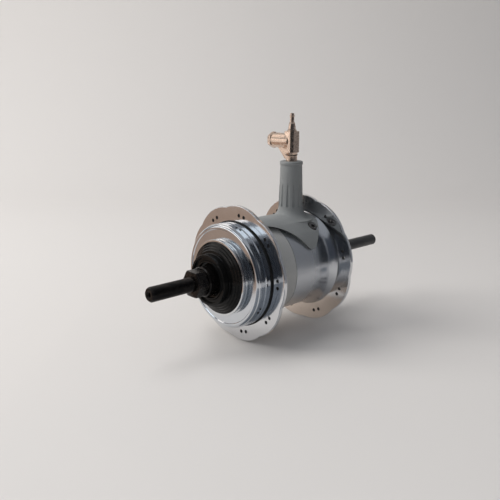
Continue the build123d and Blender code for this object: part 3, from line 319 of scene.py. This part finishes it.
def thread_ridge(shape, crest, root, low_y, high_y, pitch, segments=36):
    turns = int((high_y - low_y) / pitch)
    ridge = [shape.verts.new((radius, y, 0)) for radius, y in (
        (root, low_y),
        (crest, low_y + crest_start * pitch),
        (crest, low_y + crest_end * pitch),
        (root, low_y + pitch),
    )]
    line = [shape.edges.new(pair) for pair in zip(ridge, ridge[1:])]
    shape.faces.new(ridge)
    result = bmesh.ops.spin(
        shape, geom=line, cent=(0, 0, 0), axis=(0, 1, 0), angle=2 * pi * turns,
        dvec=(0, pitch / segments, 0), steps=segments * turns,
    )
    last = [item for item in result["geom_last"] if isinstance(item, bmesh.types.BMVert)]
    last.sort(key=lambda vert: vert.co.y)
    shape.faces.new(last)


patina_roughness = 0.6
patina_low = 0.3
patina_high = 0.7


def patina_nodes(material, scale, low=0, high=1, detail=6.0):
    tree = material.node_tree
    place = tree.nodes.new("ShaderNodeTexCoord")
    noise = tree.nodes.new("ShaderNodeTexNoise")
    noise.inputs["Scale"].default_value = scale
    noise.inputs["Detail"].default_value = detail
    noise.inputs["Roughness"].default_value = patina_roughness
    spread = tree.nodes.new("ShaderNodeMapRange")
    spread.inputs["From Min"].default_value = patina_low
    spread.inputs["From Max"].default_value = patina_high
    spread.inputs["To Min"].default_value = low
    spread.inputs["To Max"].default_value = high
    tree.links.new(place.outputs["Object"], noise.inputs["Vector"])
    tree.links.new(noise.outputs["Fac"], spread.inputs["Value"])
    return spread.outputs["Result"]


def tint(material, share, first, second):
    tree = material.node_tree
    blend = tree.nodes.new("ShaderNodeMix")
    blend.data_type = "RGBA"
    blend.inputs["A"].default_value = first
    blend.inputs["B"].default_value = second
    tree.links.new(share, blend.inputs["Factor"])
    tree.links.new(blend.outputs["Result"], tree.nodes["Principled BSDF"].inputs["Base Color"])


def relief(material, height, depth):
    tree = material.node_tree
    bump = tree.nodes.new("ShaderNodeBump")
    bump.inputs["Strength"].default_value = 1.0
    bump.inputs["Distance"].default_value = depth
    tree.links.new(height, bump.inputs["Height"])
    tree.links.new(bump.outputs["Normal"], tree.nodes["Principled BSDF"].inputs["Normal"])


def roughen(material, share):
    tree = material.node_tree
    tree.links.new(share, tree.nodes["Principled BSDF"].inputs["Roughness"])


def new_finish(name, metallic):
    material = bpy.data.materials.new(name)
    material.use_nodes = True
    material.node_tree.nodes["Principled BSDF"].inputs["Metallic"].default_value = metallic
    return material


oxide_black = (0.013, 0.013, 0.014, 1)
oxide_brown = (0.038, 0.033, 0.030, 1)
oxide_cloud_scale = 260
oxide_haze_scale = 900
oxide_pit_scale = 4200
oxide_pit_depth = 0.004 * mm


def black_oxide_finish(name, low_rough, high_rough):
    material = new_finish(name, metallic=0.85)
    tint(material, patina_nodes(material, oxide_cloud_scale), oxide_black, oxide_brown)
    roughen(material, patina_nodes(material, oxide_haze_scale, low_rough, high_rough))
    relief(material, patina_nodes(material, oxide_pit_scale), oxide_pit_depth)
    return material


axle_low, axle_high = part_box("axle")
axle_left = axle_low.y
axle_right = axle_high.y - spigot_length
axle_root = axle_radius - thread_depth
left_nut_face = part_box("left_locknut")[0].y
right_nut_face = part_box("right_locknut")[1].y
black_oxide = black_oxide_finish("black_oxide_steel", low_rough=0.26, high_rough=0.46)
axle_core = lathe("axle_core", [
    (0, axle_left + centre_depth + centre_hole),
    (centre_hole, axle_left + centre_depth),
    (centre_hole, axle_left + centre_mouth),
    (centre_hole + centre_mouth, axle_left),
    (axle_root - thread_chamfer, axle_left),
    (axle_root, axle_left + thread_chamfer),
    (axle_root, axle_right - thread_chamfer),
    (axle_root - thread_chamfer, axle_right),
    (spigot_radius, axle_right),
    (spigot_radius, axle_right + spigot_length),
    (rod_bore, axle_right + spigot_length),
    (rod_bore, rod_bore_end),
    (0, rod_bore_end),
], segments=64)
threads = bmesh.new()
for low_y, high_y in (
    (axle_left + thread_run_out, left_nut_face),
    (right_nut_face, axle_right - thread_run_out),
):
    thread_ridge(threads, axle_radius, axle_root, low_y, high_y, thread_pitch)
bmesh.ops.remove_doubles(threads, verts=threads.verts, dist=weld_distance)
bmesh.ops.recalc_face_normals(threads, faces=threads.faces)
axle_threads = finish_mesh("axle_threads", threads, sharp=60)
for piece in (axle_core, axle_threads):
    piece.data.materials.append(black_oxide)
    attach(piece, "axle_set")
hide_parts("axle")


# The left locknut and cone: turned and milled steel in the same black oxide, a little glossier.
# The nut is chamfered at both faces and locks the cone on the thread.
nut_finish = black_oxide_finish("black_oxide_nut", low_rough=0.20, high_rough=0.38)
cone_finish = black_oxide_finish("black_oxide_cone", low_rough=0.16, high_rough=0.30)
nut_softness = 0.25 * mm
copy_weld = 0.004 * mm
flat_angle = 0.6


def softened_copy(node, name, width, angle=32, segments=2):
    shape = bmesh.new()
    shape.from_mesh(nodes[node].data)
    bmesh.ops.remove_doubles(shape, verts=shape.verts, dist=copy_weld)
    bmesh.ops.dissolve_limit(
        shape, angle_limit=radians(flat_angle), use_dissolve_boundaries=False,
        verts=shape.verts, edges=shape.edges, delimit=set(),
    )
    piece = finish_mesh(name, shape, angle)
    soften = piece.modifiers.new("soft_edges", "BEVEL")
    soften.width = width
    soften.segments = segments
    soften.limit_method = "ANGLE"
    soften.angle_limit = radians(angle)
    soften.use_clamp_overlap = True
    soften.harden_normals = True
    return piece


def wear(node, material):
    nodes[node].data.materials.clear()
    nodes[node].data.materials.append(material)


left_nut = softened_copy("left_locknut", "left_nut_black", nut_softness)
left_nut.data.materials.append(nut_finish)
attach(left_nut, "axle_set")
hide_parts("left_locknut")
wear("left_cone", cone_finish)


# The right-hand nut and washer are zinc plated, and the cone is ground bearing steel.
# The guide sleeve on the axle's end and the cover beside the sprocket are black mouldings.
plate_cloud_scale = 140
plate_haze_scale = 420
plate_grain_scale = 2600
moulding_cloud_scale = 90
moulding_haze_scale = 300


def plated_finish(name, colour, second, low_rough, high_rough, grain=0.003 * mm):
    material = new_finish(name, metallic=1.0)
    tint(material, patina_nodes(material, plate_cloud_scale), colour, second)
    roughen(material, patina_nodes(material, plate_haze_scale, low_rough, high_rough))
    relief(material, patina_nodes(material, plate_grain_scale), grain)
    return material


def moulded_finish(
    name, colour, second, low_rough, high_rough, grain, grain_scale=2400, specular=0.45
):
    material = new_finish(name, metallic=0.0)
    surface = material.node_tree.nodes["Principled BSDF"]
    surface.inputs["Specular IOR Level"].default_value = specular
    tint(material, patina_nodes(material, moulding_cloud_scale), colour, second)
    roughen(material, patina_nodes(material, moulding_haze_scale, low_rough, high_rough))
    relief(material, patina_nodes(material, grain_scale), grain)
    return material


zinc_finish = plated_finish(
    "zinc_plate", colour=(0.56, 0.57, 0.58, 1), second=(0.48, 0.48, 0.48, 1),
    low_rough=0.24, high_rough=0.34, grain=0.0008 * mm,
)
ground_finish = plated_finish(
    "ground_bearing_steel", colour=(0.56, 0.56, 0.57, 1), second=(0.47, 0.46, 0.45, 1),
    low_rough=0.14, high_rough=0.28,
)
black_moulding = moulded_finish(
    "black_moulding", colour=(0.022, 0.022, 0.023, 1), second=(0.035, 0.035, 0.036, 1),
    low_rough=0.34, high_rough=0.5, grain=0.01 * mm,
)
for node in ("right_lock_washer", "right_locknut"):
    wear(node, zinc_finish)
wear("right_cone", ground_finish)
wear("rod_guide", black_moulding)
wear("driver_dust_cover", black_moulding)


# The gears, their carrier and pins: case-hardened steel, machined, oiled and straw-tinted by heat.
# They sit closed in the shell and show only when it is taken apart.
gear_finish = plated_finish(
    "hardened_gear_steel", colour=(0.44, 0.42, 0.40, 1), second=(0.33, 0.30, 0.27, 1),
    low_rough=0.24, high_rough=0.42, grain=0.004 * mm,
)
cage_finish = plated_finish(
    "machined_cage_steel", colour=(0.50, 0.49, 0.48, 1), second=(0.40, 0.38, 0.36, 1),
    low_rough=0.28, high_rough=0.46, grain=0.005 * mm,
)
pin_finish = plated_finish(
    "ground_pin_steel", colour=(0.60, 0.60, 0.60, 1), second=(0.52, 0.52, 0.52, 1),
    low_rough=0.12, high_rough=0.22, grain=0.002 * mm,
)
for node in ("sun_gear", "ring_gear"):
    wear(node, gear_finish)
for place in range(1, 5):
    wear(f"planet_gear_{place}", gear_finish)
for node in ("planet_carrier", "clutch", "thrust_ring", "axle_key"):
    wear(node, cage_finish)
for node in ("planet_pins", "pawl_pins", "drive_pawl_1", "drive_pawl_2"):
    wear(node, pin_finish)


# The balls: polished chrome steel, three sets, running in ground races.
# The races are cut in the two cones, the drum, the ball ring and the driver.
ball_finish = plated_finish(
    "ball_steel", colour=(0.66, 0.66, 0.67, 1), second=(0.60, 0.60, 0.61, 1),
    low_rough=0.05, high_rough=0.12, grain=0.001 * mm,
)
for node in ("left_balls", "right_balls", "driver_balls"):
    wear(node, ball_finish)
for node in ("driver", "right_ball_ring"):
    wear(node, ground_finish)


# The sprocket is pressed from sheet and plated bright, and a snap ring holds it on the driver.
# The ring and the shift rod in the axle are drawn spring steel.
sprocket_finish = plated_finish(
    "sprocket_plate", colour=(0.40, 0.40, 0.41, 1), second=(0.33, 0.325, 0.32, 1),
    low_rough=0.26, high_rough=0.36, grain=0.0008 * mm,
)
spring_finish = plated_finish(
    "spring_wire", colour=(0.40, 0.40, 0.41, 1), second=(0.32, 0.31, 0.30, 1),
    low_rough=0.2, high_rough=0.34, grain=0.002 * mm,
)
wear("sprocket", sprocket_finish)
for node in ("snap_ring", "shift_rod"):
    wear(node, spring_finish)


# The clutch spring is a coil of drawn wire round the axle, held by the right cone.
# It gets shorter as the shift rod draws the clutch towards the cone; here it is copied with a mesh
# of its own and rides with the axle.
coil_shape = bmesh.new()
coil_shape.from_mesh(nodes["clutch_spring"].data)
bmesh.ops.remove_doubles(coil_shape, verts=coil_shape.verts, dist=copy_weld)
bmesh.ops.recalc_face_normals(coil_shape, faces=coil_shape.faces)
coil = finish_mesh("clutch_coil", coil_shape, sharp=50)
coil.data.materials.append(spring_finish)
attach(coil, "axle_set")
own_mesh(coil)
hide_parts("clutch_spring")


# The shell, its flanges and the end drum: cast and turned aluminium, polished bright.
# Fine lathe rings run round every turned face, and handling leaves a faint haze.
# The barrel is satin beside the left flange and buffed brighter towards its right end.
ring_spacing = 0.22 * mm
ring_depth = 0.0005 * mm
ring_detail = 3.0
polish_cloud_scale = 45
polish_haze_scale = 120
polish_haze_detail = 8.0
buff_start = 30 * mm
buff_end = 58 * mm
satin_rough = 0.40
buffed_rough = 0.20


def lathe_rings(material):
    tree = material.node_tree
    place = tree.nodes.new("ShaderNodeTexCoord")
    split = tree.nodes.new("ShaderNodeSeparateXYZ")
    flat_part = tree.nodes.new("ShaderNodeCombineXYZ")
    radius = tree.nodes.new("ShaderNodeVectorMath")
    radius.operation = "LENGTH"
    along = tree.nodes.new("ShaderNodeMath")
    along.operation = "ADD"
    rings = tree.nodes.new("ShaderNodeTexNoise")
    rings.noise_dimensions = "1D"
    rings.inputs["Scale"].default_value = 1 / ring_spacing
    rings.inputs["Detail"].default_value = ring_detail
    tree.links.new(place.outputs["Object"], split.inputs["Vector"])
    tree.links.new(split.outputs["X"], flat_part.inputs["X"])
    tree.links.new(split.outputs["Z"], flat_part.inputs["Z"])
    tree.links.new(flat_part.outputs["Vector"], radius.inputs[0])
    tree.links.new(radius.outputs["Value"], along.inputs[0])
    tree.links.new(split.outputs["Y"], along.inputs[1])
    tree.links.new(along.outputs["Value"], rings.inputs["W"])
    relief(material, rings.outputs["Fac"], ring_depth)


def turned_finish(name, colour, second):
    material = new_finish(name, metallic=1.0)
    tint(material, patina_nodes(material, polish_cloud_scale), colour, second)
    lathe_rings(material)
    return material


def polished_finish(name, colour, second, low_rough, high_rough):
    material = turned_finish(name, colour, second)
    haze = patina_nodes(material, polish_haze_scale, low_rough, high_rough, polish_haze_detail)
    roughen(material, haze)
    return material


def buffed_nodes(material):
    tree = material.node_tree
    place = tree.nodes.new("ShaderNodeTexCoord")
    split = tree.nodes.new("ShaderNodeSeparateXYZ")
    blend = tree.nodes.new("ShaderNodeMapRange")
    blend.interpolation_type = "SMOOTHSTEP"
    blend.inputs["From Min"].default_value = buff_start
    blend.inputs["From Max"].default_value = buff_end
    blend.inputs["To Min"].default_value = satin_rough
    blend.inputs["To Max"].default_value = buffed_rough
    tree.links.new(place.outputs["Object"], split.inputs["Vector"])
    tree.links.new(split.outputs["Y"], blend.inputs["Value"])
    return blend.outputs["Result"]


shell_finish = turned_finish(
    "polished_shell", colour=(0.58, 0.60, 0.63, 1), second=(0.55, 0.57, 0.60, 1)
)
roughen(shell_finish, buffed_nodes(shell_finish))
flange_finish = polished_finish(
    "polished_flange", colour=(0.74, 0.75, 0.77, 1), second=(0.67, 0.68, 0.70, 1),
    low_rough=0.07, high_rough=0.15,
)
drum_finish = polished_finish(
    "polished_drum", colour=(0.69, 0.72, 0.76, 1), second=(0.61, 0.64, 0.68, 1),
    low_rough=0.08, high_rough=0.17,
)
wear("hub_shell", shell_finish)
wear("left_flange", flange_finish)
wear("right_flange", flange_finish)
wear("left_drum", drum_finish)


# The spoke holes are punched in the flanges in nine pairs, which leaves their walls dull; their
# dark colour is painted shade inside the holes.
# Each wall is drawn as a thin sleeve inside its hole.
hole_circle = 41.6 * mm
hole_radius = 1.28 * mm
hole_wall = 0.05 * mm
hole_pairs = 9
pair_half_angle = 3.4
left_first_pair = 1.7
right_first_pair = 13.3
hole_steps = 20
# Dark grey hole walls: painted shade inside the spoke holes.
hole_shade_finish = plated_finish(
    "hole_shade_wall", colour=(0.10, 0.10, 0.10, 1), second=(0.06, 0.06, 0.06, 1),
    low_rough=0.4, high_rough=0.6,
)
for name, node, first_pair in (
    ("left_hole_walls", "left_flange", left_first_pair),
    ("right_hole_walls", "right_flange", right_first_pair),
):
    flange_low, flange_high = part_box(node)
    sleeves = bmesh.new()
    for pair in range(hole_pairs):
        for side in (-1, 1):
            place = radians(first_pair + pair * 360 / hole_pairs + side * pair_half_angle)
            centre = Vector((hole_circle * cos(place), 0, hole_circle * sin(place)))
            profile = [sleeves.verts.new(centre + Vector((radius, y, 0))) for radius, y in (
                (hole_radius, flange_low.y + hole_wall),
                (hole_radius - hole_wall, flange_low.y + hole_wall),
                (hole_radius - hole_wall, flange_high.y - hole_wall),
                (hole_radius, flange_high.y - hole_wall),
            )]
            loop = [sleeves.edges.new(ends) for ends in zip(profile, profile[1:] + profile[:1])]
            bmesh.ops.spin(
                sleeves, geom=profile + loop, cent=centre, axis=(0, 1, 0), angle=2 * pi,
                steps=hole_steps, use_merge=True,
            )
    bmesh.ops.remove_doubles(sleeves, verts=sleeves.verts, dist=weld_distance)
    bmesh.ops.recalc_face_normals(sleeves, faces=sleeves.faces)
    hole_walls = finish_mesh(name, sleeves)
    hole_walls.data.materials.append(hole_shade_finish)
    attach(hole_walls, "shell")


# The knurled ring is bright chromed steel, pressed on the drum. A knurling wheel has rolled fine
# diamonds into its rim, between two round lips, and its foot runs out in a hollow on the drum.
chrome_finish = polished_finish(
    "chromed_ring", colour=(0.74, 0.76, 0.78, 1), second=(0.68, 0.70, 0.72, 1),
    low_rough=0.05, high_rough=0.12,
)
ring_low, ring_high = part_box("knurled_ring")
rim_radius = ring_high.x
ring_front = ring_low.y
ring_rear = ring_high.y
rim_wall = 1.3 * mm
rim_lip = 0.3 * mm
rim_foot = 1.1 * mm
rim_bore = 20.5 * mm
rim_steps = 6
knurl_sink = 0.35 * mm
knurl_rows = 4
knurl_cuts = 280
crest_share = 0.8
ring_segments = 160
lip_radius = rim_radius - rim_lip
knurl_front = ring_front + 2 * rim_lip
knurl_rear = ring_rear - rim_foot - 2 * rim_lip
lip_centre = ring_front + rim_lip
foot_centre = ring_rear - rim_foot
front_bead = []
for step in range(2 * rim_steps + 1):
    turn = -pi / 2 + pi * step / (2 * rim_steps)
    front_bead.append((lip_radius + rim_lip * cos(turn), lip_centre + rim_lip * sin(turn)))
rear_bead = [(radius, y + knurl_rear - ring_front) for radius, y in front_bead]
foot_curve = []
for step in range(1, rim_steps + 1):
    turn = pi / 2 * step / rim_steps
    foot_curve.append((rim_radius - rim_foot * cos(turn), foot_centre + rim_foot * sin(turn)))
rim = lathe("chromed_rim", [
    (rim_bore, ring_rear),
    *reversed(foot_curve),
    (rim_radius - rim_foot, knurl_rear + 2 * rim_lip),
    *reversed(rear_bead),
    (rim_radius - knurl_sink - rim_lip, knurl_rear),
    (rim_radius - knurl_sink - rim_lip, knurl_front),
    *reversed(front_bead),
    (rim_radius - rim_wall, ring_front),
    (rim_radius - rim_wall, ring_rear - rim_lip),
    (rim_bore, ring_rear - rim_lip),
], segments=ring_segments)
diamonds = bmesh.new()
row_pitch = (knurl_rear - knurl_front) / knurl_rows
row = [diamonds.verts.new((rim_radius - knurl_sink, knurl_front + row_pitch * place, 0))
       for place in range(knurl_rows + 1)]
row_line = [diamonds.edges.new(pair) for pair in zip(row, row[1:])]
bmesh.ops.spin(
    diamonds, geom=row + row_line, cent=(0, 0, 0), axis=(0, 1, 0), angle=2 * pi,
    steps=knurl_cuts, use_merge=True,
)
bmesh.ops.remove_doubles(diamonds, verts=diamonds.verts, dist=weld_distance)
crests = []
for vert in diamonds.verts:
    cut = round(atan2(vert.co.z, vert.co.x) / (2 * pi) * knurl_cuts)
    level_place = round((vert.co.y - knurl_front) / row_pitch)
    if (cut + level_place) % 2 and 0 < level_place < knurl_rows:
        crests.append(vert)
crest_rise = 1 + knurl_sink * crest_share / rim_radius
bmesh.ops.scale(diamonds, vec=(crest_rise, 1, crest_rise), verts=crests)
bmesh.ops.recalc_face_normals(diamonds, faces=diamonds.faces)
rim_knurl = finish_mesh("rim_knurl", diamonds, sharp=20)
for piece in (rim, rim_knurl):
    piece.data.materials.append(chrome_finish)
    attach(piece, "shell")
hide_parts("knurled_ring")


# The seal between drum and flange is a thin ring of soft black rubber.
# It stands a little proud of the drum and keeps water out of the joint.
# This black rubber is worn by the real seal and by the painted shade rings at the elbow.
rubber_and_shade_finish = moulded_finish(
    "seal_rubber_and_shade", colour=(0.008, 0.008, 0.008, 1), second=(0.013, 0.013, 0.013, 1),
    low_rough=0.5, high_rough=0.7, grain=0.02 * mm, specular=0.3,
)
seal_low, seal_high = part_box("seal_ring")
seal_round = 0.35 * mm
seal_lip = 0.3 * mm
seal_waist = 0.45 * mm
seal_clearance = 0.02 * mm
seal_bore = 31.0 * mm
seal = lathe("rubber_seal", [
    (seal_bore, seal_low.y),
    (seal_high.x - seal_round - seal_lip, seal_low.y),
    (seal_high.x - seal_waist, seal_low.y + seal_round),
    (seal_high.x - seal_lip, seal_high.y - seal_round),
    (seal_high.x - seal_waist, seal_high.y - seal_clearance),
    (seal_bore, seal_high.y - seal_clearance),
], segments=ring_segments, sharp=50)
seal.data.materials.append(rubber_and_shade_finish)
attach(seal, "shell")
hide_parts("seal_ring")


# The cover inside the knurled ring is a glossy black moulding with stepped rings.
# It shields the left bearing and turns with the shell round the cone.
cover_finish = moulded_finish(
    "gloss_black_moulding", colour=(0.003, 0.003, 0.003, 1), second=(0.006, 0.006, 0.006, 1),
    low_rough=0.12, high_rough=0.20, grain=0.0015 * mm, grain_scale=3000, specular=0.16,
)
wear("dust_cover", cover_finish)


# The grey band and the saddle are glass-filled plastic, moulded with a fine satin grain.
# The saddle clamps on the barrel with two screws, and its tower holds the plated tube.
saddle_softness = 0.45 * mm
band_finish = moulded_finish(
    "grey_band_plastic", colour=(0.37, 0.37, 0.362, 1), second=(0.345, 0.345, 0.338, 1),
    low_rough=0.26, high_rough=0.36, grain=0.003 * mm,
)
saddle_finish = moulded_finish(
    "grey_saddle_plastic", colour=(0.225, 0.232, 0.232, 1), second=(0.200, 0.207, 0.207, 1),
    low_rough=0.42, high_rough=0.58, grain=0.012 * mm, grain_scale=2000, specular=0.35,
)
wear("grey_band", band_finish)
saddle = softened_copy("stem_saddle", "saddle_moulding", saddle_softness, angle=40, segments=3)
saddle.data.materials.append(saddle_finish)
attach(saddle, "shell")
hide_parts("stem_saddle")
screw_finish = plated_finish(
    "dark_screw_steel", colour=(0.15, 0.14, 0.135, 1), second=(0.10, 0.09, 0.085, 1),
    low_rough=0.25, high_rough=0.42,
)
wear("saddle_screws", screw_finish)


# The elbow and its valve are machined brass with a warm nickel plate that has dulled unevenly.
# The tube runs down the tower to the shell's port, and a hexagon cap closes the arm.
elbow_softness = 0.3 * mm
cap_softness = 0.22 * mm
warm_plate = plated_finish(
    "warm_nickel_plate", colour=(0.72, 0.56, 0.46, 1), second=(0.60, 0.47, 0.385, 1),
    low_rough=0.20, high_rough=0.31, grain=0.004 * mm,
)
elbow = softened_copy("elbow_body", "elbow_plated", elbow_softness, segments=3)
cap = softened_copy("elbow_cap", "elbow_cap_plated", cap_softness)
for piece, node in ((elbow, "elbow_body"), (cap, "elbow_cap")):
    piece.data.materials.append(warm_plate)
    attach(piece, "shell")
    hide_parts(node)
for node in ("stem_nipple", "valve_stem", "valve_pin"):
    wear(node, warm_plate)


# Thin black rings in the cap's seam on the arm and at the neck under the body are painted shade,
# dark rings that stand for the shadow there.
# The valve's tube carries a rolled bead below its mouth, in the same plate as the elbow.
arm_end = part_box("elbow_body")[0].x
arm_height = 88.1 * mm
stem_y = 54.0 * mm
cap_shade_bore = 4.3 * mm
cap_shade_radius = 5.0 * mm
cap_shade_width = 0.56 * mm
shade_ring_corner = 0.1 * mm
neck_shade_z = 78.2 * mm
neck_bore = 4.1 * mm
neck_shade_radius = 4.36 * mm
neck_shade_width = 0.6 * mm
bead_radius = 1.85 * mm
bead_width = 1.1 * mm
bead_corner = 0.3 * mm
bead_drop = 2.6 * mm
valve_bore = 1.5 * mm
valve_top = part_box("valve_stem")[1].z


def flat_ring(name, outer, inner, width, corner, place):
    ring = lathe(name, [
        (inner, 0),
        (outer - corner, 0),
        (outer, corner),
        (outer, width - corner),
        (outer - corner, width),
        (inner, width),
    ], segments=64, sharp=50)
    ring.data.transform(place)
    return ring


# Black rings: painted shade in the cap seam and under the elbow body.
cap_seam_shade = flat_ring(
    "cap_seam_shade", cap_shade_radius, cap_shade_bore, cap_shade_width, shade_ring_corner,
    Matrix.Translation((arm_end, stem_y, arm_height)) @ Matrix.Rotation(pi / 2, 4, "Z"),
)
neck_shade_ring = flat_ring(
    "neck_shade_ring", neck_shade_radius, neck_bore, neck_shade_width, shade_ring_corner,
    Matrix.Translation((0, stem_y, neck_shade_z)) @ Matrix.Rotation(pi / 2, 4, "X"),
)
valve_bead = flat_ring(
    "valve_bead", bead_radius, valve_bore, bead_width, bead_corner,
    Matrix.Translation((0, stem_y, valve_top - bead_drop)) @ Matrix.Rotation(pi / 2, 4, "X"),
)
for piece, material, slot in (
    (cap_seam_shade, rubber_and_shade_finish, "black_rubber"),
    (neck_shade_ring, rubber_and_shade_finish, "black_rubber"),
    (valve_bead, warm_plate, "plated_brass"),
):
    piece.data.materials.append(material)
    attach(piece, "shell")
